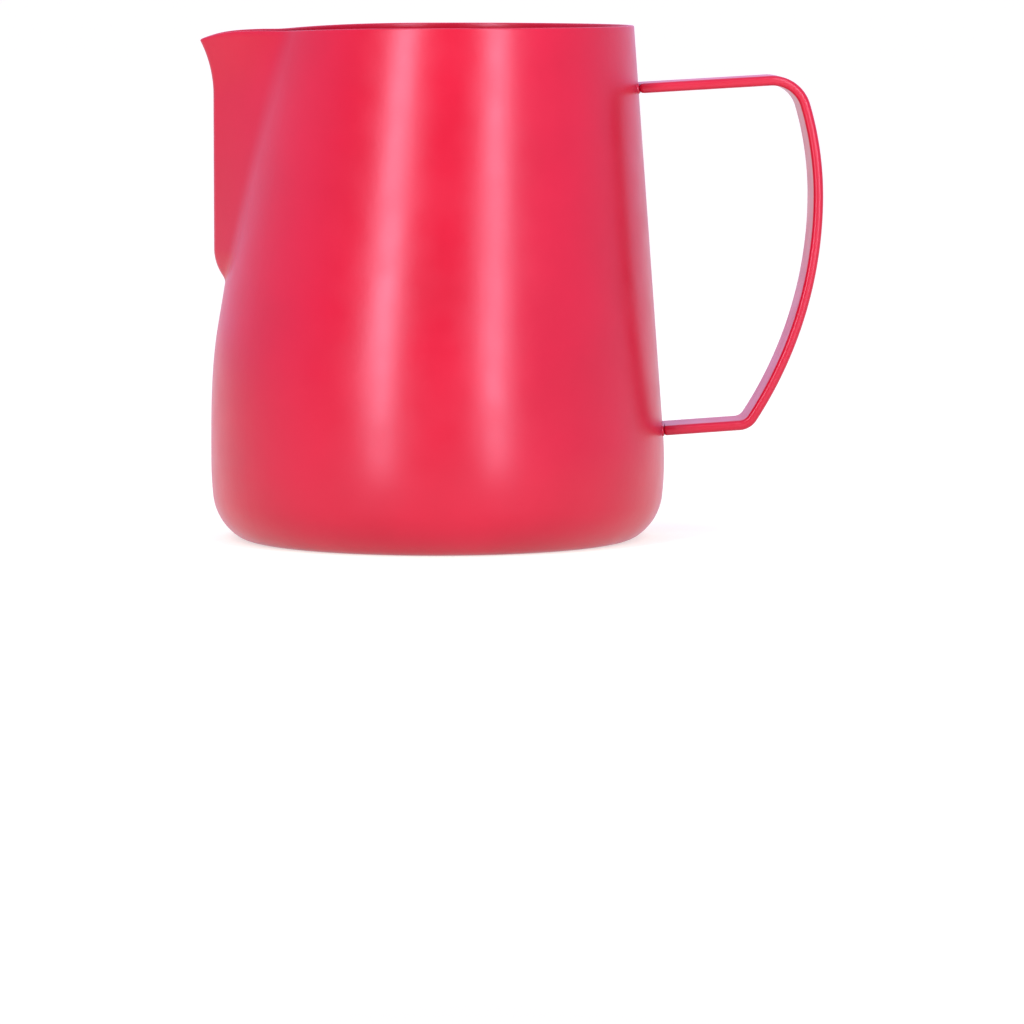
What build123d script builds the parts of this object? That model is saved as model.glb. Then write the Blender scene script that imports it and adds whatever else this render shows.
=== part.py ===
"""Milk frothing pitcher: one drawn steel cup with a pressed spout, a bent strap handle and two weld beads.

Millimetres, +Z up. The origin is on the axis of the round base, at the level of the table. The spout points
along -X and the handle along +X, and the pitcher is the same on both sides of the plane y = 0.
"""

import os
from math import asin, atan, atan2, cos, radians, sin, sqrt, tan

from build123d import *

# Cup: overall sizes
RIM_HEIGHT = 103.9
BELLY_RADIUS = 46.0
SHEET = 0.8

# Cup: rounded base. From the flat disc on the table, the outline turns up through three tangent arcs.
FOOT_RADIUS = 5.4
FOOT_TURN = 35.3
CORNER_RADIUS = 11.0
CORNER_TURN = 48.6
BELLY_ARC_RADIUS = 67.0

# Cup: wall. The handle side leans in by one taper. Pressing the spout draws the front in further, from a pinch
# over the belly up to the rim.
HANDLE_SIDE_TAPER = 0.073
PINCH_HEIGHT = 43.5
PINCH_DRAWN_IN = 1.5
RIM_DRAWN_IN = 9.0
SECTION_STEP = 6.0

# Spout: a V pressed out of the wall, with a rounded chin at its foot and a flared lip at its top
RIDGE_INSIDE_BELLY = 0.75
RIDGE_RADIUS_AT_CHIN = 2.6
RIDGE_RADIUS_AT_RIM = 1.4
CHIN_BELOW_RIM = 44.9
CHIN_RADIUS = 9.7
FLARE_BELOW_RIM = 13.9
FLARE_RADIUS = 24.0
CREASE_TURN_AT_CHIN = 9.4
CREASE_TURN_AT_RIM = 26.9
FLANK_STEP = 2.5
FLANK_INSIDE = 8.0
CREASE_RADIUS = 2.2

# Rim: level at the back, sunk a little where the creases end, and falling away over the lip. Each pair is a
# distance back from the spout's ridge and the drop below the rim there.
RIM_DROPS = [(-6.7, 4.6), (-3.1, 2.9), (-1.1, 2.15), (1.3, 1.5), (3.8, 1.12), (6.8, 0.92), (10.3, 0.84)]
RIM_DROPS += [(13.8, 0.86), (18.3, 0.62), (23.3, 0.38), (29.3, 0.18), (36.3, 0.05), (45.3, 0.0)]
RIM_EDGE_RADIUS = 0.3

# Handle: a flat strap. Its centre line is a chain of tangent arcs, started at the outermost point of the grip,
# with a nearly level arm at each end that runs to the wall.
STRAP_WIDTH = 14.0
STRAP_THICKNESS = 2.0
STRAP_EDGE_RADIUS = 0.8
GRIP_STANDOFF = 31.8
GRIP_BELOW_RIM = 34.6
UPPER_GRIP_TURN = 16.5
UPPER_BEND_RADIUS = 7.0
UPPER_ARM_BELOW_RIM = 11.1
UPPER_ARM_SLOPE = 3.3
LOWER_GRIP_TURN = 33.0
LOWER_BEND_RADIUS = 3.3
LOWER_ARM_HEIGHT = 23.1
LOWER_ARM_SLOPE = 3.8
ARM_INSIDE_RIM = 8.0

# Welds: a bead hugs the wall around each end of the strap
WELD_GAP = 0.2
WELD_REACH = 0.7
WELD_SIDE = 0.6

# Places that follow from the cup
RIM_OPENING_RADIUS = BELLY_RADIUS - RIM_DRAWN_IN
PINCH_REACH = BELLY_RADIUS - PINCH_DRAWN_IN
SPOUT_REACH = BELLY_RADIUS - RIDGE_INSIDE_BELLY
CHIN_HEIGHT = RIM_HEIGHT - CHIN_BELOW_RIM
FLARE_HEIGHT = RIM_HEIGHT - FLARE_BELOW_RIM
GRIP_REACH = BELLY_RADIUS + GRIP_STANDOFF
GRIP_HEIGHT = RIM_HEIGHT - GRIP_BELOW_RIM
UPPER_ARM_HEIGHT = RIM_HEIGHT - UPPER_ARM_BELOW_RIM
ARM_END = RIM_OPENING_RADIUS - ARM_INSIDE_RIM

# Where the arcs of the base end: the tilt of the outline's normal below the horizontal
FOOT_END = radians(90 - FOOT_TURN)
CORNER_END = radians(90 - FOOT_TURN - CORNER_TURN)
CORNER_CENTRE_X = BELLY_RADIUS - BELLY_ARC_RADIUS + (BELLY_ARC_RADIUS - CORNER_RADIUS) * cos(CORNER_END)
CORNER_CENTRE_Z = FOOT_RADIUS + (CORNER_RADIUS - FOOT_RADIUS) * sin(FOOT_END)
FOOT_CENTRE_X = CORNER_CENTRE_X + (CORNER_RADIUS - FOOT_RADIUS) * cos(FOOT_END)
BELLY_HEIGHT = CORNER_CENTRE_Z + (BELLY_ARC_RADIUS - CORNER_RADIUS) * sin(CORNER_END)

# The forms are made a little too tall and trimmed at the rim
TRIM_HEIGHT = RIM_HEIGHT + 2


def handle_side(z, inset=0.0):
    """Distance of the wall from the axis on the handle side: an arc at the belly, then a straight taper."""
    lean = atan(HANDLE_SIDE_TAPER)
    arc = BELLY_ARC_RADIUS - inset
    arc_top = BELLY_HEIGHT + arc * sin(lean)
    if z > arc_top:
        return BELLY_RADIUS - inset - arc * (1 - cos(lean)) - HANDLE_SIDE_TAPER * (z - arc_top)
    return BELLY_RADIUS - BELLY_ARC_RADIUS + sqrt(arc**2 - (z - BELLY_HEIGHT) ** 2)


def spout_side(z, inset=0.0):
    """Distance of the wall from the axis on the spout side: upright at the belly, then drawn in to the rim."""
    if z <= BELLY_HEIGHT:
        return handle_side(z, inset)
    rim = 2 * RIM_OPENING_RADIUS - handle_side(RIM_HEIGHT)
    taper = (PINCH_REACH - rim) / (RIM_HEIGHT - PINCH_HEIGHT)
    if z >= PINCH_HEIGHT:
        return rim + taper * (RIM_HEIGHT - z) - inset
    span = PINCH_HEIGHT - BELLY_HEIGHT
    t = (z - BELLY_HEIGHT) / span
    fall = t * t * (3 - 2 * t) * (BELLY_RADIUS - PINCH_REACH)
    ease = t * t * (1 - t) * span * taper
    return BELLY_RADIUS - fall + ease - inset


def wall_circle(z, inset):
    """The round section of the wall at one height: its radius, and its centre's distance from the axis."""
    far, near = handle_side(z, inset), spout_side(z, inset)
    return (far + near) / 2, (far - near) / 2


def steps(low, high, step):
    """Heights from low to high, evenly spaced at about the step."""
    count = max(2, round((high - low) / step))
    return [low + (high - low) * i / count for i in range(count + 1)]


def base_bowl(inset):
    """The rounded base, turned about the axis, up to where the belly arc takes over."""
    foot_arc = FOOT_RADIUS - inset
    corner_arc = CORNER_RADIUS - inset
    disc = (FOOT_CENTRE_X, 0, inset)
    foot_x = FOOT_CENTRE_X + foot_arc * cos(FOOT_END)
    foot_end = (foot_x, 0, FOOT_RADIUS - foot_arc * sin(FOOT_END))
    corner_x = CORNER_CENTRE_X + corner_arc * cos(CORNER_END)
    corner_end = (corner_x, 0, CORNER_CENTRE_Z - corner_arc * sin(CORNER_END))
    outline = Wire([
        Line((0, 0, inset), disc),
        TangentArc(disc, foot_end, tangent=(1, 0, 0)),
        TangentArc(foot_end, corner_end, tangent=(sin(FOOT_END), 0, cos(FOOT_END))),
        Line(corner_end, (0, 0, corner_end[2])),
        Line((0, 0, corner_end[2]), (0, 0, inset)),
    ])
    return revolve(Face(outline), Axis.Z), corner_end[2]


def wall(bottom, top, inset):
    """The tapered wall, lofted through round sections."""
    rounds = []
    for z in steps(bottom, top, SECTION_STEP):
        radius, centre = wall_circle(z, inset)
        rounds.append(Plane((centre, 0, z)) * Circle(radius))
    return loft(rounds)


def ridge(z, inset):
    """Distance of the spout's front ridge from the axis: an arc at the chin, upright, then an arc at the lip."""
    if z < CHIN_HEIGHT:
        arc = CHIN_RADIUS - inset
        return SPOUT_REACH - inset - arc + sqrt(arc**2 - (CHIN_HEIGHT - z) ** 2)
    if z > FLARE_HEIGHT:
        arc = FLARE_RADIUS + inset
        return SPOUT_REACH - inset + arc - sqrt(arc**2 - (z - FLARE_HEIGHT) ** 2)
    return SPOUT_REACH - inset


def crease_point(z, inset):
    """Where the flanks leave the round wall at one height, as distance along and across."""
    rise = (z - CHIN_HEIGHT) / (RIM_HEIGHT - CHIN_HEIGHT)
    turn = radians(CREASE_TURN_AT_CHIN + (CREASE_TURN_AT_RIM - CREASE_TURN_AT_CHIN) * rise)
    radius, centre = wall_circle(z, inset)
    return radius * cos(turn) - centre, radius * sin(turn)


def spout_section(z, inset):
    """The V of the spout at one height: a rounded ridge, two straight flanks, and a close inside the cup.

    The flanks run from the ridge to the crease. Below the chin the same V moves back into the wall.
    """
    rise = (z - CHIN_HEIGHT) / (RIM_HEIGHT - CHIN_HEIGHT)
    arc = RIDGE_RADIUS_AT_CHIN + (RIDGE_RADIUS_AT_RIM - RIDGE_RADIUS_AT_CHIN) * rise - inset
    front = ridge(z, inset)
    along, across = crease_point(z, inset)
    run = max(front, SPOUT_REACH - inset) - arc - along
    angle = atan2(across, run) - asin(arc / sqrt(run**2 + across**2))
    point = front - arc + arc / sin(angle)
    tangent = arc / tan(angle)
    inside = (run + arc / sin(angle)) / cos(angle) + FLANK_INSIDE

    def flank(length, side):
        return (-point + length * cos(angle), side * length * sin(angle), z)

    heart = (-RIM_OPENING_RADIUS / 4, 0, z)
    return Face(Wire([
        ThreePointArc(flank(tangent, -1), (-front, 0, z), flank(tangent, 1)),
        Line(flank(tangent, 1), flank(inside, 1)),
        Line(flank(inside, 1), heart),
        Line(heart, flank(inside, -1)),
        Line(flank(inside, -1), flank(tangent, -1)),
    ]))


def spout(top, inset):
    """The pressed V of the spout, lofted from inside the wall below the chin to above the rim."""
    bottom = CHIN_HEIGHT - 0.88 * (CHIN_RADIUS - inset)
    return loft([spout_section(z, inset) for z in steps(bottom, top, FLANK_STEP)])


def creases(form, inset):
    """The edges where the spout's flanks and chin leave the round wall."""
    found = []
    for edge in form.edges():
        middle = edge @ 0.5
        radius, centre = wall_circle(middle.Z, inset)
        off_wall = abs(sqrt((middle.X - centre) ** 2 + middle.Y**2) - radius)
        if off_wall < 0.05 and middle.X < -radius / 2 and BELLY_HEIGHT < middle.Z < RIM_HEIGHT:
            found.append(edge)
    return found


def round_form(inset):
    """The cup before its spout is pressed, as a closed solid, its surface moved inwards by the inset."""
    bowl, bowl_top = base_bowl(inset)
    return bowl + wall(bowl_top, TRIM_HEIGHT, inset)


def cup_form(inset):
    """The cup with its spout, as a closed solid, its surface moved inwards by the inset."""
    form = round_form(inset) + spout(TRIM_HEIGHT, inset)
    return fillet(creases(form, inset), CREASE_RADIUS + inset)


def above_rim():
    """Everything over the rim, which is level at the back and drops along a smooth curve towards the lip."""
    over = 2 * BELLY_RADIUS
    drops = [(back - SPOUT_REACH, 0, RIM_HEIGHT - drop) for back, drop in RIM_DROPS]
    top = RIM_HEIGHT + over
    outline = Wire([
        Line((over, 0, RIM_HEIGHT), drops[-1]),
        Spline(*reversed(drops)),
        Line(drops[0], (drops[0][0], 0, top)),
        Line((drops[0][0], 0, top), (over, 0, top)),
        Line((over, 0, top), (over, 0, RIM_HEIGHT)),
    ])
    return extrude(Face(outline), over, dir=(0, 1, 0), both=True)


def rim_edges(body):
    """The outer and inner edges of the sheet all round the rim and along the lip."""
    found = []
    for edge in body.edges():
        along_rim = all((edge @ place).Z > FLARE_HEIGHT for place in (0, 0.5, 1))
        if along_rim and edge.length > 2 * SHEET:
            found.append(edge)
    return found


def pitcher_body():
    """One sheet all over: the outer form less the inner form, trimmed at the rim, with its edges rounded."""
    body = cup_form(0) - cup_form(SHEET) - above_rim()
    return fillet(rim_edges(body), RIM_EDGE_RADIUS)


def grip_radius(climb, turn, bend_radius, whole_turn):
    """Radius of a grip arc that, with its bend, climbs from the outermost point to the arm."""
    bend_climb = bend_radius * sin(radians(whole_turn))
    return bend_radius + (climb - bend_climb) / sin(radians(turn))


def arm_end(bend):
    """Where the straight arm that carries on from a bend ends, well inside the wall."""
    return bend @ 1 + (bend % 1) * ((ARM_END - (bend @ 1).X) / (bend % 1).X)


def strap_arcs():
    """The strap's centre line from the end of the low arm, round the grip, to the end of the top arm."""
    side = Plane(origin=(0, 0, 0), x_dir=(1, 0, 0), z_dir=(0, -1, 0))
    outermost = (GRIP_REACH - STRAP_THICKNESS / 2, GRIP_HEIGHT)
    upper_turn = 90 + UPPER_ARM_SLOPE
    upper_climb = UPPER_ARM_HEIGHT - GRIP_HEIGHT
    upper_radius = grip_radius(upper_climb, UPPER_GRIP_TURN, UPPER_BEND_RADIUS, upper_turn)
    upper_grip = JernArc(outermost, (0, 1), upper_radius, UPPER_GRIP_TURN)
    upper_bend = JernArc(upper_grip @ 1, upper_grip % 1, UPPER_BEND_RADIUS, upper_turn - UPPER_GRIP_TURN)
    lower_turn = 90 - LOWER_ARM_SLOPE
    lower_drop = GRIP_HEIGHT - LOWER_ARM_HEIGHT
    lower_radius = grip_radius(lower_drop, LOWER_GRIP_TURN, LOWER_BEND_RADIUS, lower_turn)
    lower_grip = JernArc(outermost, (0, -1), lower_radius, -LOWER_GRIP_TURN)
    lower_bend = JernArc(lower_grip @ 1, lower_grip % 1, LOWER_BEND_RADIUS, LOWER_GRIP_TURN - lower_turn)
    lower_arm = Line(arm_end(lower_bend), lower_bend @ 1)
    upper_arm = Line(upper_bend @ 1, arm_end(upper_bend))
    return side * Wire([lower_arm, lower_bend, lower_grip, upper_grip, upper_bend, upper_arm])


def strap_section(line, place, extra):
    """The strap's rounded section square to its centre line, grown all round by the extra."""
    across = Plane(origin=line @ place, x_dir=(0, 1, 0), z_dir=line % place)
    width = STRAP_WIDTH + 2 * extra
    thickness = STRAP_THICKNESS + 2 * extra
    return across * RectangleRounded(width, thickness, STRAP_EDGE_RADIUS + extra)


def handle_strap(line):
    """The bent strap, its two ends cut to the curve of the wall."""
    return sweep(strap_section(line, 0, 0), line) - round_form(-WELD_GAP)


def weld_bead(line, place, strap):
    """The bead round one end of the strap: a pad that hugs the wall and reaches a little past the strap."""
    core = extrude(strap_section(line, place, WELD_SIDE), BELLY_RADIUS, both=True)
    pads = (core & round_form(-WELD_REACH)) - round_form(0)
    return pads.solids().sort_by_distance(line @ place)[0] - strap


def main():
    os.makedirs("parts", exist_ok=True)
    line = strap_arcs()
    strap = handle_strap(line)
    nodes = {
        "pitcher_body": pitcher_body(),
        "handle_strap": strap,
        "lower_handle_weld": weld_bead(line, 0, strap),
        "upper_handle_weld": weld_bead(line, 1, strap),
    }
    for name, shape in nodes.items():
        shape.label = name
        export_step(shape, f"parts/{name}.step")


if __name__ == "__main__":
    main()
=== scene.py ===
# %% [markdown]
# # A milk frothing pitcher in red coated steel
#
# A barista steams milk in this small jug. It is one drawn steel cup with a spout pressed out of its wall, a flat
# strap bent into a handle, and two weld beads that hold the strap. A red powder coat covers all of it.
#
# The imported model is loaded first. It is in metres, with the origin in the middle of the base on the table, the
# spout along -X and the handle along +X. Nothing made here may outgrow it.

# %% Load the imported pitcher
from math import asin, atan, atan2, cos, pi, radians, sin, sqrt

import bpy
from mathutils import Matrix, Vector, noise


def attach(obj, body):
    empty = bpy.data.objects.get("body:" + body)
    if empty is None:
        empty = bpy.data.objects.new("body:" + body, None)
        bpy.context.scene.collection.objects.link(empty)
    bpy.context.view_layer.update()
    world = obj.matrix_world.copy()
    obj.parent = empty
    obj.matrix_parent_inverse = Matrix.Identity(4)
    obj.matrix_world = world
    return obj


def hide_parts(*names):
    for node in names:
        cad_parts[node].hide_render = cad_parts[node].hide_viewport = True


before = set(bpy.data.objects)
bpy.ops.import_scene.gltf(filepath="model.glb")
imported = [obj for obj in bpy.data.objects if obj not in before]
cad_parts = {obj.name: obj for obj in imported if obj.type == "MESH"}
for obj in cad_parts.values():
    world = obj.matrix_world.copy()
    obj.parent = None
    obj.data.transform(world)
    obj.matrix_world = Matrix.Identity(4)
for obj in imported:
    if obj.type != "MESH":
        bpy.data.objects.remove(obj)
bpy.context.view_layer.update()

# %% [markdown]
# ## The colour of light
#
# Coated metal that is brightly lit keeps a strong, pure red only if the picture isn't compressed towards grey.
# The Standard view shows the colours as they are worked out, so the finish is judged with that.

# %% Show colours as they are
bpy.context.scene.view_settings.view_transform = "Standard"
print("view:", bpy.context.scene.view_settings.view_transform)

# %% [markdown]
# ## Red powder coat
#
# Powder coat is dry plastic powder baked onto the metal. It melts into a satin skin with two faint textures: a
# very fine grain, and a slow waviness about a millimetre long that makers call orange peel. Reflections of lamps
# come out soft and slightly broken.
#
# An image of a texture would have to be wrapped round the spout and would stretch there. Noise in the object's
# own space has the same grain on every piece and needs no wrapping, so colour, roughness and bump all come from
# noise nodes. Roughness changes slowly from place to place: a roughness as fine as the grain breaks up into dark
# specks when the picture is cleaned of noise, so the fine grain is in the bump alone.

# %% Helpers for the coat's nodes
def add_node(tree, kind, **values):
    """One shader node with its settings and its unlinked inputs."""
    node = tree.nodes.new(kind)
    for name, value in values.items():
        if name in node.inputs:
            node.inputs[name].default_value = value
        else:
            setattr(node, name, value)
    return node


def grain(tree, place, scale, detail=2.0):
    """Noise in the object's own space. The scale is the number of spots in a metre."""
    node = add_node(tree, "ShaderNodeTexNoise", Scale=scale, Detail=detail)
    tree.links.new(place.outputs["Object"], node.inputs["Vector"])
    return node.outputs["Fac"]


def spread(tree, source, low, high):
    """The middle of a noise, stretched out to run from low to high."""
    node = add_node(tree, "ShaderNodeMapRange")
    node.inputs["From Min"].default_value = 0.3
    node.inputs["From Max"].default_value = 0.7
    node.inputs["To Min"].default_value = low
    node.inputs["To Max"].default_value = high
    tree.links.new(source, node.inputs["Value"])
    return node.outputs["Result"]


# %% Mix the coat
GRAIN_SPOTS, ORANGE_PEEL_SPOTS, GLOSS_SPOTS, CLOUD_SPOTS = 1700, 600, 135, 45
DEEP_RED, PALE_RED = (0.380, 0.0013, 0.0140, 1), (0.420, 0.0022, 0.0180, 1)
SMOOTHEST, ROUGHEST = 0.28, 0.33
PEEL_DEPTH, GRAIN_DEPTH, BUMP_STRENGTH = 0.00003, 0.000012, 0.3

coat = bpy.data.materials.new("red_powder_coat")
coat.use_nodes = True
tree = coat.node_tree
shader = tree.nodes["Principled BSDF"]
place = add_node(tree, "ShaderNodeTexCoord")

reds = add_node(tree, "ShaderNodeValToRGB")
reds.color_ramp.elements[0].color = DEEP_RED
reds.color_ramp.elements[1].color = PALE_RED
tree.links.new(spread(tree, grain(tree, place, CLOUD_SPOTS, 4.0), 0.0, 1.0), reds.inputs["Fac"])
tree.links.new(reds.outputs["Color"], shader.inputs["Base Color"])

gloss = spread(tree, grain(tree, place, GLOSS_SPOTS, 1.0), SMOOTHEST, ROUGHEST)
tree.links.new(gloss, shader.inputs["Roughness"])
shader.inputs["IOR"].default_value = 1.5
shader.inputs["Specular Tint"].default_value = (0.95, 0.74, 1.0, 1)
shader.inputs["Sheen Weight"].default_value = 0.12
shader.inputs["Sheen Roughness"].default_value = 0.2
shader.inputs["Sheen Tint"].default_value = (0.62, 0.45, 1.0, 1)

peel = add_node(tree, "ShaderNodeBump", Strength=BUMP_STRENGTH, Distance=PEEL_DEPTH)
tree.links.new(grain(tree, place, ORANGE_PEEL_SPOTS, 1.0), peel.inputs["Height"])
fine = add_node(tree, "ShaderNodeBump", Strength=BUMP_STRENGTH, Distance=GRAIN_DEPTH)
tree.links.new(grain(tree, place, GRAIN_SPOTS, 0.0), fine.inputs["Height"])
tree.links.new(peel.outputs["Normal"], fine.inputs["Normal"])
tree.links.new(fine.outputs["Normal"], shader.inputs["Normal"])
print("coat nodes:", len(tree.nodes))

# %% [markdown]
# ## From a list of points to a piece
#
# Every surface below is a net of points worked out from the pitcher's own sizes, as a tool maker would work out a
# press die. A net like this bends as smoothly as the real sheet, where the CAD model's own mesh shows small flats.
# Sizes are kept in millimetres and turned into metres only here.

# %% A helper that makes a piece
def add_piece(name, points, faces, node):
    """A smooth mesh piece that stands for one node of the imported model."""
    mesh = bpy.data.meshes.new(name)
    mesh.from_pydata([[v / 1000 for v in point] for point in points], [], faces)
    mesh.shade_smooth()
    mesh.materials.append(coat)
    piece = bpy.data.objects.new(name, mesh)
    bpy.context.scene.collection.objects.link(piece)
    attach(piece, "root")
    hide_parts(node)
    print(name, "points:", len(points), "faces:", len(faces))
    return piece


def net(rows, closed_at=()):
    """Points and faces of closed rings stacked one after another, with a middle point on the rows named."""
    points = [point for row in rows for point in row]
    around = len(rows[0])
    faces = []
    for i in range(len(rows) - 1):
        for j in range(around):
            k = (j + 1) % around
            faces.append((i * around + j, i * around + k, (i + 1) * around + k, (i + 1) * around + j))
    for i in closed_at:
        points.append(tuple(sum(point[a] for point in rows[i]) / around for a in range(3)))
        for j in range(around):
            edge = (i * around + j, i * around + (j + 1) % around)
            faces.append((*(edge[::-1] if i == 0 else edge), len(points) - 1))
    return points, faces


# %% [markdown]
# ## The wall of the cup
#
# The cup starts as a drawn tumbler: a flat disc, a rounded foot and corner, a soft belly, and a wall that leans in
# to the rim. When the spout is pressed, the front of the wall is pulled in more than the back. Every level section
# of the wall is still round, so two numbers describe it at each height: a radius and how far its centre has moved
# towards the handle.

# %% Sizes of the cup
RIM_HEIGHT, BELLY_RADIUS, SHEET = 103.9, 46.0, 0.8
FOOT_RADIUS, FOOT_TURN = 5.4, 35.3
CORNER_RADIUS, CORNER_TURN = 11.0, 48.6
BELLY_ARC_RADIUS = 67.0
HANDLE_SIDE_TAPER = 0.073
PINCH_HEIGHT, PINCH_REACH = 43.5, BELLY_RADIUS - 1.5
RIM_OPENING_RADIUS = BELLY_RADIUS - 9.0

FOOT_END = radians(90 - FOOT_TURN)
CORNER_END = radians(90 - FOOT_TURN - CORNER_TURN)
CORNER_X = BELLY_RADIUS - BELLY_ARC_RADIUS + (BELLY_ARC_RADIUS - CORNER_RADIUS) * cos(CORNER_END)
CORNER_Z = FOOT_RADIUS + (CORNER_RADIUS - FOOT_RADIUS) * sin(FOOT_END)
FOOT_X = CORNER_X + (CORNER_RADIUS - FOOT_RADIUS) * cos(FOOT_END)
BELLY_HEIGHT = CORNER_Z + (BELLY_ARC_RADIUS - CORNER_RADIUS) * sin(CORNER_END)
print("flat disc radius, mm:", round(FOOT_X, 2), "belly height, mm:", round(BELLY_HEIGHT, 2))


# %% The round sections of the wall
def handle_side(z, inset=0.0):
    """How far the wall stands from the axis on the handle side."""
    lean = atan(HANDLE_SIDE_TAPER)
    arc = BELLY_ARC_RADIUS - inset
    arc_top = BELLY_HEIGHT + arc * sin(lean)
    if z > arc_top:
        return BELLY_RADIUS - inset - arc * (1 - cos(lean)) - HANDLE_SIDE_TAPER * (z - arc_top)
    return BELLY_RADIUS - BELLY_ARC_RADIUS + sqrt(arc**2 - (z - BELLY_HEIGHT) ** 2)


def spout_side(z, inset=0.0):
    """How far the round wall stands from the axis on the spout side."""
    if z <= BELLY_HEIGHT:
        return handle_side(z, inset)
    rim = 2 * RIM_OPENING_RADIUS - handle_side(RIM_HEIGHT)
    taper = (PINCH_REACH - rim) / (RIM_HEIGHT - PINCH_HEIGHT)
    if z >= PINCH_HEIGHT:
        return rim + taper * (RIM_HEIGHT - z) - inset
    span = PINCH_HEIGHT - BELLY_HEIGHT
    t = (z - BELLY_HEIGHT) / span
    fall = t * t * (3 - 2 * t) * (BELLY_RADIUS - PINCH_REACH)
    return BELLY_RADIUS - fall + t * t * (1 - t) * span * taper - inset


def wall_circle(z, inset):
    """Radius of the wall's round section, and its centre's distance from the axis."""
    far, near = handle_side(z, inset), spout_side(z, inset)
    return (far + near) / 2, (far - near) / 2


print("wall at the rim, mm:", [round(v, 2) for v in wall_circle(RIM_HEIGHT, 0)])

# %% [markdown]
# ## The spout
#
# The spout is a V pushed out of the wall: a narrow rounded ridge in front, two nearly flat flanks, a chin where it
# leaves the wall, and a lip that flares out. It could be a separate piece laid against the cup, but then there
# would be a sharp seam where the real sheet flows round a soft crease. Here the wall and the V are each written as
# a distance from the wall's centre in one direction, and the farther one wins, with a little blending where they
# meet. That blending is the crease.

# %% Sizes of the spout
SPOUT_REACH = BELLY_RADIUS - 0.75
RIDGE_RADIUS_AT_CHIN, RIDGE_RADIUS_AT_RIM = 2.6, 1.4
CHIN_HEIGHT, CHIN_RADIUS = RIM_HEIGHT - 44.9, 9.7
FLARE_HEIGHT, FLARE_RADIUS = RIM_HEIGHT - 13.9, 24.0
CREASE_TURN_AT_CHIN, CREASE_TURN_AT_RIM = 9.4, 26.9
CREASE_BLEND = 0.9


# %% How far the V stands out
def ridge(z, inset):
    """Distance of the spout's front ridge from the axis."""
    if z < CHIN_HEIGHT:
        arc = CHIN_RADIUS - inset
        return SPOUT_REACH - inset - arc + sqrt(arc**2 - (CHIN_HEIGHT - z) ** 2)
    if z > FLARE_HEIGHT:
        arc = FLARE_RADIUS + inset
        return SPOUT_REACH - inset + arc - sqrt(arc**2 - (z - FLARE_HEIGHT) ** 2)
    return SPOUT_REACH - inset


def spout_from_centre(turn, z, inset):
    """Distance of the V from the wall's centre, in a direction turned this far from the front."""
    if z < CHIN_HEIGHT - 0.97 * (CHIN_RADIUS - inset):
        return 0.0
    radius, centre = wall_circle(z, inset)
    rise = (z - CHIN_HEIGHT) / (RIM_HEIGHT - CHIN_HEIGHT)
    crease = radians(CREASE_TURN_AT_CHIN + (CREASE_TURN_AT_RIM - CREASE_TURN_AT_CHIN) * rise)
    arc = RIDGE_RADIUS_AT_CHIN + (RIDGE_RADIUS_AT_RIM - RIDGE_RADIUS_AT_CHIN) * rise - inset
    front = ridge(z, inset)
    along = max(front, SPOUT_REACH - inset) - arc + centre - radius * cos(crease)
    across = radius * sin(crease)
    angle = atan2(across, along) - asin(arc / sqrt(along**2 + across**2))
    if turn > pi / 2 - angle:
        return 0.0
    middle = front - arc + centre
    if turn < atan2(arc * cos(angle), middle + arc * sin(angle)):
        return middle * cos(turn) + sqrt(arc**2 - (middle * sin(turn)) ** 2)
    return (middle + arc / sin(angle)) * sin(angle) / sin(angle + turn)


def skin_point(turn, z, inset):
    """The point of the cup's outer or inner skin in one direction at one height."""
    radius, centre = wall_circle(z, inset)
    spout = spout_from_centre(abs(turn), z, inset)
    near = max(CREASE_BLEND - abs(radius - spout), 0.0) / CREASE_BLEND
    reach = max(radius, spout) + near * near * CREASE_BLEND / 4
    return centre - reach * cos(turn), reach * sin(turn), z


print("spout tip, mm:", [round(v, 2) for v in skin_point(0, RIM_HEIGHT, 0)])

# %% [markdown]
# ## The rim
#
# The blank is trimmed level before the spout is pressed. Pressing then pulls the sheet down where it bends most,
# so the rim sinks by almost a millimetre at the two creases, and it falls away over the lip, so that milk leaves in
# a thin stream. A smooth curve through a few measured drops says this better than one arc. The cut edge is
# smoothed, or it would hurt a hand and the coat wouldn't hold on it.

# %% Height of the rim
RIM_DROPS = [(-52, 4.6), (-48.4, 2.9), (-46.4, 2.15), (-44.0, 1.5), (-41.5, 1.12), (-38.5, 0.92), (-35.0, 0.84)]
RIM_DROPS += [(-31.5, 0.86), (-27.0, 0.62), (-22.0, 0.38), (-16.0, 0.18), (-9.0, 0.05), (0.0, 0.0), (50, 0.0)]
RIM_EDGE_RADIUS = 0.3


def rim_height(x):
    """Height of the rim at one distance along the pitcher, on a smooth curve through the measured drops."""
    i = max(k for k in range(1, len(RIM_DROPS) - 2) if RIM_DROPS[k][0] <= x or k == 1)
    (x0, d0), (x1, d1), (x2, d2), (x3, d3) = RIM_DROPS[i - 1 : i + 3]
    t = min(max((x - x1) / (x2 - x1), 0.0), 1.0)
    leave, arrive = (d2 - d0) / (x2 - x0) * (x2 - x1), (d3 - d1) / (x3 - x1) * (x2 - x1)
    blend = (2 * t**3 - 3 * t**2 + 1) * d1 + (t**3 - 2 * t**2 + t) * leave
    return RIM_HEIGHT - blend - (3 * t**2 - 2 * t**3) * d2 - (t**3 - t**2) * arrive


def rim_point(turn, inset):
    """Top of one skin in one direction. The height and the reach depend on each other, so they are tried in turn."""
    z = RIM_HEIGHT
    for _ in range(6):
        z = rim_height(skin_point(turn, z, inset)[0])
    return skin_point(turn, z, inset)


print("rim over the lip, mm:", [round(v, 2) for v in rim_point(0, 0)])
print("rim at the crease, mm:", [round(v, 2) for v in rim_point(radians(CREASE_TURN_AT_RIM), 0)])

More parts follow.
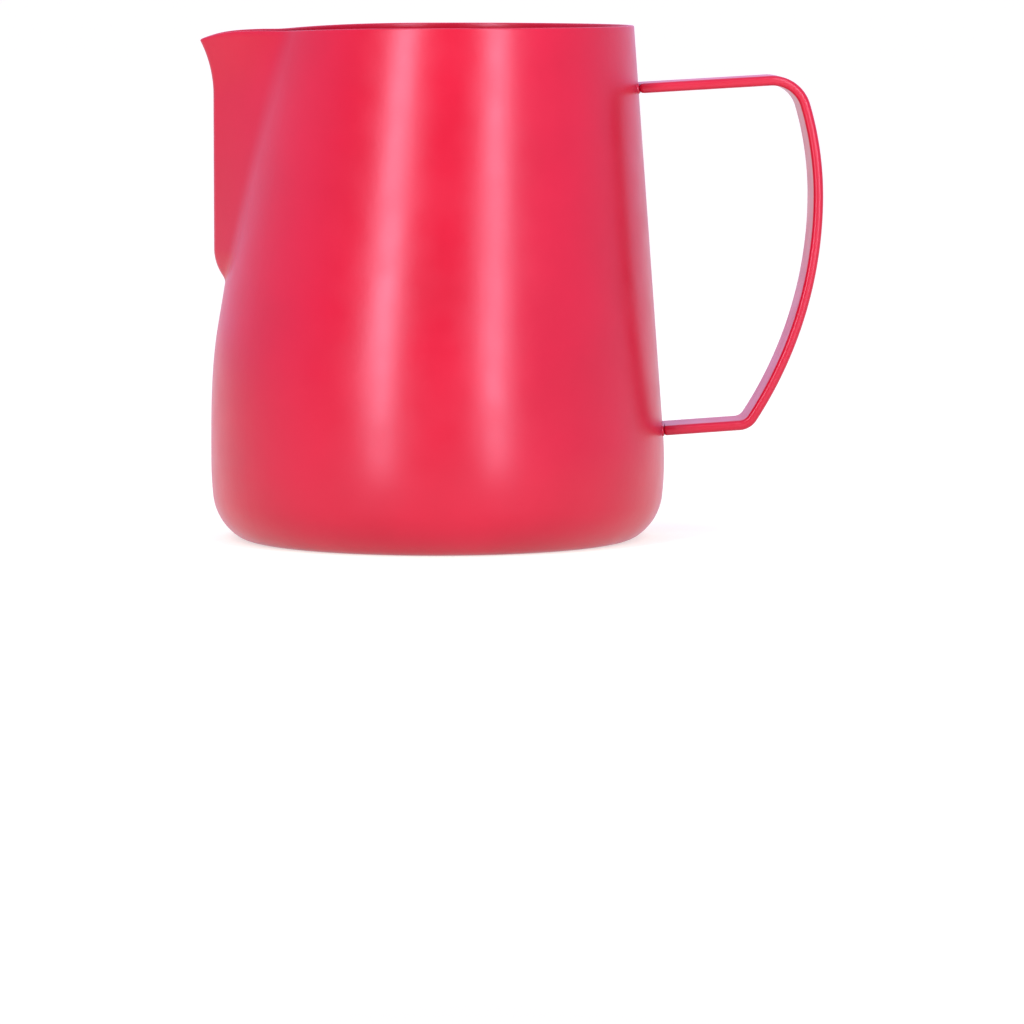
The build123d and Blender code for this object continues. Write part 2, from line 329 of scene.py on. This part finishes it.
# %% [markdown]
# ## The net of the cup
#
# The net has columns round the cup and rows up it. Columns are close together over the ridge and the flanks, and
# far apart round the plain wall. Rows are close together at the chin, where the sheet turns most. It runs from the
# middle of the base up the outer skin, over the rim, and down the inner skin, so the steel has its real thickness.

# %% Columns and rows
def run(low, high, step):
    """Evenly spaced values from low up to but not including high."""
    count = max(1, round((high - low) / step))
    return [low + (high - low) * i / count for i in range(count)]


RIDGE_END, FLANK_END = 4, 32  # degrees from the front
half_turn = run(0, RIDGE_END, 0.25) + run(RIDGE_END, FLANK_END, 0.7) + run(FLANK_END, 180, 2.5)
turns = [radians(t) for t in half_turn + [180.0] + [-t for t in reversed(half_turn[1:])]]
print("columns:", len(turns))


def bowl_rows(inset):
    """Radius and height of the rows over the disc, the foot and the corner."""
    rows = [(r, inset) for r in run(3, FOOT_X, 6)]
    foot, corner = FOOT_RADIUS - inset, CORNER_RADIUS - inset
    for t in run(pi / 2, FOOT_END, -radians(4)):
        rows.append((FOOT_X + foot * cos(t), FOOT_RADIUS - foot * sin(t)))
    for t in run(FOOT_END, CORNER_END, -radians(4)):
        rows.append((CORNER_X + corner * cos(t), CORNER_Z - corner * sin(t)))
    return rows, CORNER_Z - corner * sin(CORNER_END)


BELOW_CHIN, ABOVE_CHIN, LEVEL_ROWS_END = 48, 60, 80


def skin(inset):
    """All the rows of one skin, from the middle of the base to just under the rim."""
    low, wall_start = bowl_rows(inset)
    rows = [[(-r * cos(t), r * sin(t), z) for t in turns] for r, z in low]
    levels = run(wall_start, BELOW_CHIN, 1.6) + run(BELOW_CHIN, ABOVE_CHIN, 0.3)
    for z in levels + run(ABOVE_CHIN, LEVEL_ROWS_END, 1.2):
        rows.append([skin_point(t, z, inset) for t in turns])
    tops = [rim_point(t, inset)[2] - RIM_EDGE_RADIUS for t in turns]
    for part in run(0, 1, 0.04) + [1.0]:
        heights = [LEVEL_ROWS_END + (top - LEVEL_ROWS_END) * part for top in tops]
        rows.append([skin_point(t, z, inset) for t, z in zip(turns, heights)])
    return rows


def rim_rows(outer, inner):
    """Rows over the cut edge, from the outer skin to the inner one, with both its corners rounded."""
    part = RIM_EDGE_RADIUS / SHEET
    rows = []
    for t in (0.5, 1.0, 1.57):
        rows.append((part * (1 - cos(t)), sin(t)))
    rows += [(1 - across, up) for across, up in reversed(rows)]
    return [
        [
            tuple(a + (b - a) * across for a, b in zip(p[:2], q[:2]))
            + (p[2] + (q[2] - p[2]) * across + RIM_EDGE_RADIUS * up,)
            for p, q in zip(outer, inner)
        ]
        for across, up in rows
    ]


# %% Make the cup
outside, inside = skin(0.0), skin(SHEET)
rows = outside + rim_rows(outside[-1], inside[-1]) + inside[::-1]
cup_points, cup_faces = net(rows, closed_at=(0, len(rows) - 1))
cup = add_piece("cup", cup_points, cup_faces, "pitcher_body")

# %% [markdown]
# ## The strap handle
#
# The handle is a flat strap with rounded edges, bent at two places and gently bowed between them, so that two
# fingers fit behind it. It could be a box with a bevel, bent by modifiers, but the exact arcs are known. Its
# section is carried along a chain of arcs that touch smoothly, and the two arms run straight to the wall.

# %% Sizes of the strap
STRAP_WIDTH, STRAP_THICKNESS, STRAP_EDGE_RADIUS = 14.0, 2.0, 0.8
GRIP_X, GRIP_Z = BELLY_RADIUS + 31.8 - STRAP_THICKNESS / 2, RIM_HEIGHT - 34.6
UPPER_GRIP_TURN, UPPER_BEND_RADIUS, UPPER_END_TURN = 16.5, 7.0, 93.3
LOWER_GRIP_TURN, LOWER_BEND_RADIUS, LOWER_END_TURN = 33.0, 3.3, 86.2
UPPER_ARM_HEIGHT, LOWER_ARM_HEIGHT = RIM_HEIGHT - 11.1, 23.1
STRAP_GAP = 0.2


# %% The strap's centre line
def half_line(climb, grip_turn, bend_radius, end_turn, side):
    """Stations from the outermost point to the end of the bend: x, z, and the turn of the outward direction."""
    climb_in_bend = bend_radius * sin(radians(end_turn))
    grip_radius = bend_radius + (climb - climb_in_bend) / sin(radians(grip_turn))
    stations = []
    for t in run(0, grip_turn, 1.0):
        t = radians(t)
        stations.append((GRIP_X - grip_radius * (1 - cos(t)), GRIP_Z + side * grip_radius * sin(t), side * t))
    turn = radians(grip_turn)
    x, z = GRIP_X - grip_radius * (1 - cos(turn)), GRIP_Z + side * grip_radius * sin(turn)
    for t in run(grip_turn, end_turn, 4.0) + [end_turn]:
        t = radians(t)
        out, up = bend_radius * (cos(t) - cos(turn)), bend_radius * (sin(t) - sin(turn))
        stations.append((x + out, z + side * up, side * t))
    return stations


upper = half_line(UPPER_ARM_HEIGHT - GRIP_Z, UPPER_GRIP_TURN, UPPER_BEND_RADIUS, UPPER_END_TURN, 1)
lower = half_line(GRIP_Z - LOWER_ARM_HEIGHT, LOWER_GRIP_TURN, LOWER_BEND_RADIUS, LOWER_END_TURN, -1)
print("stations:", len(upper), len(lower))


# %% The strap's section
def strap_section(grow=0.0):
    """Points round the section: across the strap, out from its centre line, and the direction they face."""
    points = []
    radius = STRAP_EDGE_RADIUS
    half = (STRAP_WIDTH / 2 - radius, STRAP_THICKNESS / 2 - radius)
    for quarter, (a, b) in enumerate([(1, 1), (-1, 1), (-1, -1), (1, -1)]):
        for t in run(quarter * 90, quarter * 90 + 90, 15) + [quarter * 90 + 90]:
            face = (cos(radians(t)), sin(radians(t)))
            points.append((a * half[0] + (radius + grow) * face[0], b * half[1] + (radius + grow) * face[1], face))
        if quarter % 2 == 0:
            face = (0, 1 if quarter == 0 else -1)
            for y in run(half[0], -half[0], -1.2)[1:]:
                points.append((a * y, b * (STRAP_THICKNESS / 2 + grow), face))
    return points


section = strap_section()
print("points round the strap:", len(section))


# %% Carry an arm to the wall
def to_wall(end, across, out, grow):
    """Where a line along an arm meets the wall, when the wall stands proud by this much."""
    x0, z0 = end[0] + out * cos(end[2]), end[1] + out * sin(end[2])
    slope = -cos(end[2]) / sin(end[2])
    x = x0
    for _ in range(8):
        radius, centre = wall_circle(z0 + (x - x0) * slope, -grow)
        x = centre + sqrt(radius**2 - across**2)
    return x, across, z0 + (x - x0) * slope


FILED_END = [(0.978, 0.1), (0.99, 0.3), (1.0, 0.6)]  # (part of the arm's length, how far its sides are drawn in)


def arm_rows(end, shape):
    """Rings from the end of a bend to the wall. The last few are drawn in, as a file takes the corners off."""
    rings = []
    for part, trim in [(t, 0.0) for t in run(0.1, 0.96, 0.15) + [0.96]] + FILED_END:
        ring = []
        for across, out, face in shape:
            y, n = across - trim * face[0], out - trim * face[1]
            start = (end[0] + n * cos(end[2]), y, end[1] + n * sin(end[2]))
            stop = to_wall(end, y, n, STRAP_GAP)
            ring.append(tuple(a + (b - a) * part for a, b in zip(start, stop)))
        rings.append(ring)
    return rings


# %% Make the strap
rings = arm_rows(lower[-1], section)[::-1]
for x, z, turn in lower[:0:-1] + upper:
    rings.append([(x + out * cos(turn), across, z + out * sin(turn)) for across, out, face in section])
rings += arm_rows(upper[-1], section)
strap_points, strap_faces = net(rings, closed_at=(0, len(rings) - 1))
strap = add_piece("strap_handle", strap_points, strap_faces, "handle_strap")

# %% [markdown]
# ## The weld beads
#
# Each end of the strap is joined to the wall by a thin bead of weld. The strap's corners are filed back first, and
# the bead lies in the groove that this leaves, so it hardly shows beyond the strap. A plain ring would look
# machined, so the bead's round profile swells and shrinks by a few hundredths of a millimetre along its way.

# %% Make a bead round each end
UNEVENNESS, LUMPS = 0.16, 0.9
BEAD_PROFILE = [(0.08, -0.12), (0.07, 0.06), (0.04, 0.20), (-0.03, 0.30), (-0.13, 0.33), (-0.25, 0.26), (-0.38, 0.15)]
BEAD_PROFILE += [(-0.48, 0.05), (-0.50, -0.12)]


def weld_bead(name, end, node):
    """A closed bead: its profile, in distance from the strap and height over the wall, carried round the strap."""
    rows = []
    for from_strap, height in BEAD_PROFILE:
        row = []
        for across, out, face in section:
            lump = 1 + UNEVENNESS * noise.noise(Vector((across, out, end[1])) * LUMPS)
            y, n = across + from_strap * lump * face[0], out + from_strap * lump * face[1]
            row.append(to_wall(end, y, n, height * lump))
        rows.append(row)
    points, faces = net(rows)
    around = len(section)
    last = (len(rows) - 1) * around
    faces += [(last + j, last + (j + 1) % around, (j + 1) % around, j) for j in range(around)]
    return add_piece(name, points, faces, node)


lower_weld = weld_bead("lower_weld", lower[-1], "lower_handle_weld")
upper_weld = weld_bead("upper_weld", upper[-1], "upper_handle_weld")

# %% [markdown]
# ## The studio
#
# Small metalware is shot on a white table between two tall soft lamps. Each lamp leaves one upright highlight on
# the round wall, and the room lights the rest. The room behind the camera is dimmer, which keeps the red deep
# between the highlights. The room is the world's own light, worked out from the direction a ray leaves in. Its light
# is a little lilac, which shows in the edges of the coat, while the backdrop itself is seen as plain white. The table
# glows faintly as well, so that it stays white where the lamps don't reach and keeps only a faint shadow.

# %% White table and room
TABLE_SIZE, TABLE_COLOUR, TABLE_GLOW = 30, (0.50, 0.56, 0.44, 1), 0.60
WHITE = (1, 1, 1, 1)

bpy.ops.mesh.primitive_plane_add(size=TABLE_SIZE, location=(0, 0, 0))
table = bpy.context.object
table.name = "table"
white = bpy.data.materials.new("white_table")
white.use_nodes = True
paper = white.node_tree.nodes["Principled BSDF"]
paper.inputs["Base Color"].default_value = TABLE_COLOUR
paper.inputs["Roughness"].default_value = 1.0
paper.inputs["Specular IOR Level"].default_value = 0.0
paper.inputs["Emission Color"].default_value = WHITE
paper.inputs["Emission Strength"].default_value = TABLE_GLOW
table.data.materials.append(white)
print("table, m:", TABLE_SIZE)

# %% The room's light
ROOM_LIGHT, ROOM_BEHIND_CAMERA = 0.95, 0.22
ROOM_TINT = (1.10, 0.84, 1.32, 1)
DIM_SIDE, DIM_FROM, DIM_TO = (-0.26, -0.966, 0.0), 0.35, 0.9

room = bpy.data.worlds.new("room")
room.use_nodes = True
bpy.context.scene.world = room
tree = room.node_tree
away = add_node(tree, "ShaderNodeTexCoord")
front = add_node(tree, "ShaderNodeVectorMath", operation="DOT_PRODUCT")
front.inputs[1].default_value = DIM_SIDE
dim = add_node(tree, "ShaderNodeMapRange", interpolation_type="SMOOTHSTEP")
for name, value in (("From Min", DIM_FROM), ("From Max", DIM_TO)):
    dim.inputs[name].default_value = value
for name, value in (("To Min", ROOM_LIGHT), ("To Max", ROOM_BEHIND_CAMERA)):
    dim.inputs[name].default_value = value
seen = add_node(tree, "ShaderNodeLightPath")
clean = add_node(tree, "ShaderNodeMix")
clean.inputs[3].default_value = 1.0
tree.links.new(away.outputs["Generated"], front.inputs[0])
tree.links.new(front.outputs["Value"], dim.inputs["Value"])
tree.links.new(seen.outputs["Is Camera Ray"], clean.inputs[0])
tree.links.new(dim.outputs["Result"], clean.inputs[2])
tree.links.new(clean.outputs[0], tree.nodes["Background"].inputs["Strength"])
tint = add_node(tree, "ShaderNodeMix", data_type="RGBA")
tint.inputs[6].default_value = ROOM_TINT
tint.inputs[7].default_value = WHITE
tree.links.new(seen.outputs["Is Camera Ray"], tint.inputs[0])
tree.links.new(tint.outputs[2], tree.nodes["Background"].inputs["Color"])
print("room light:", ROOM_LIGHT, "behind the camera:", ROOM_BEHIND_CAMERA)


# %% Two tall soft lamps
LAMP_DISTANCE, LAMP_FOOT, LAMP_TOP = 0.5, 0.015, 0.75


def tall_lamp(name, around, width, brightness):
    """A soft lamp that stands upright and faces the pitcher. Its power follows from how bright its cloth looks."""
    lamp = bpy.data.lights.new(name, "AREA")
    lamp.shape = "RECTANGLE"
    lamp.size, lamp.size_y = width, LAMP_TOP - LAMP_FOOT
    lamp.energy = brightness * pi * lamp.size * lamp.size_y
    stand = bpy.data.objects.new(name, lamp)
    turn = radians(around)
    stand.location = (LAMP_DISTANCE * sin(turn), -LAMP_DISTANCE * cos(turn), (LAMP_FOOT + LAMP_TOP) / 2)
    stand.rotation_euler = (pi / 2, 0, turn)
    stand.visible_camera = False
    bpy.context.scene.collection.objects.link(stand)
    print(name, "power, W:", round(lamp.energy, 2))
    return stand


CAMERA_TURN = -2.3
left_lamp = tall_lamp("left_lamp", CAMERA_TURN - 27.5, width=0.095, brightness=14.5)
right_lamp = tall_lamp("right_lamp", CAMERA_TURN + 28.4, width=0.085, brightness=13.5)

# %% [markdown]
# ## The camera
#
# A long lens from some way off shows the outline without stretching it. The camera stands a little higher than the
# rim, so the opening shows as a thin ellipse, and it is tipped down rather than shifted.

# %% Place the camera
CAMERA_DISTANCE, CAMERA_HEIGHT = 1.3, 0.1246
LENS, SENSOR = 225.6, 36.0
AIM_RIGHT, AIM_DOWN = 0.665, 5.249

view = bpy.data.cameras.new("camera")
view.lens, view.sensor_width = LENS, SENSOR
camera = bpy.data.objects.new("camera", view)
turn = radians(CAMERA_TURN)
camera.location = (CAMERA_DISTANCE * sin(turn), -CAMERA_DISTANCE * cos(turn), CAMERA_HEIGHT)
camera.rotation_euler = (radians(90 - AIM_DOWN), 0, turn - radians(AIM_RIGHT))
bpy.context.scene.collection.objects.link(camera)
bpy.context.scene.camera = camera
print("camera, m:", [round(v, 4) for v in camera.location])

# %% Bring the scene up to date
bpy.context.view_layer.update()
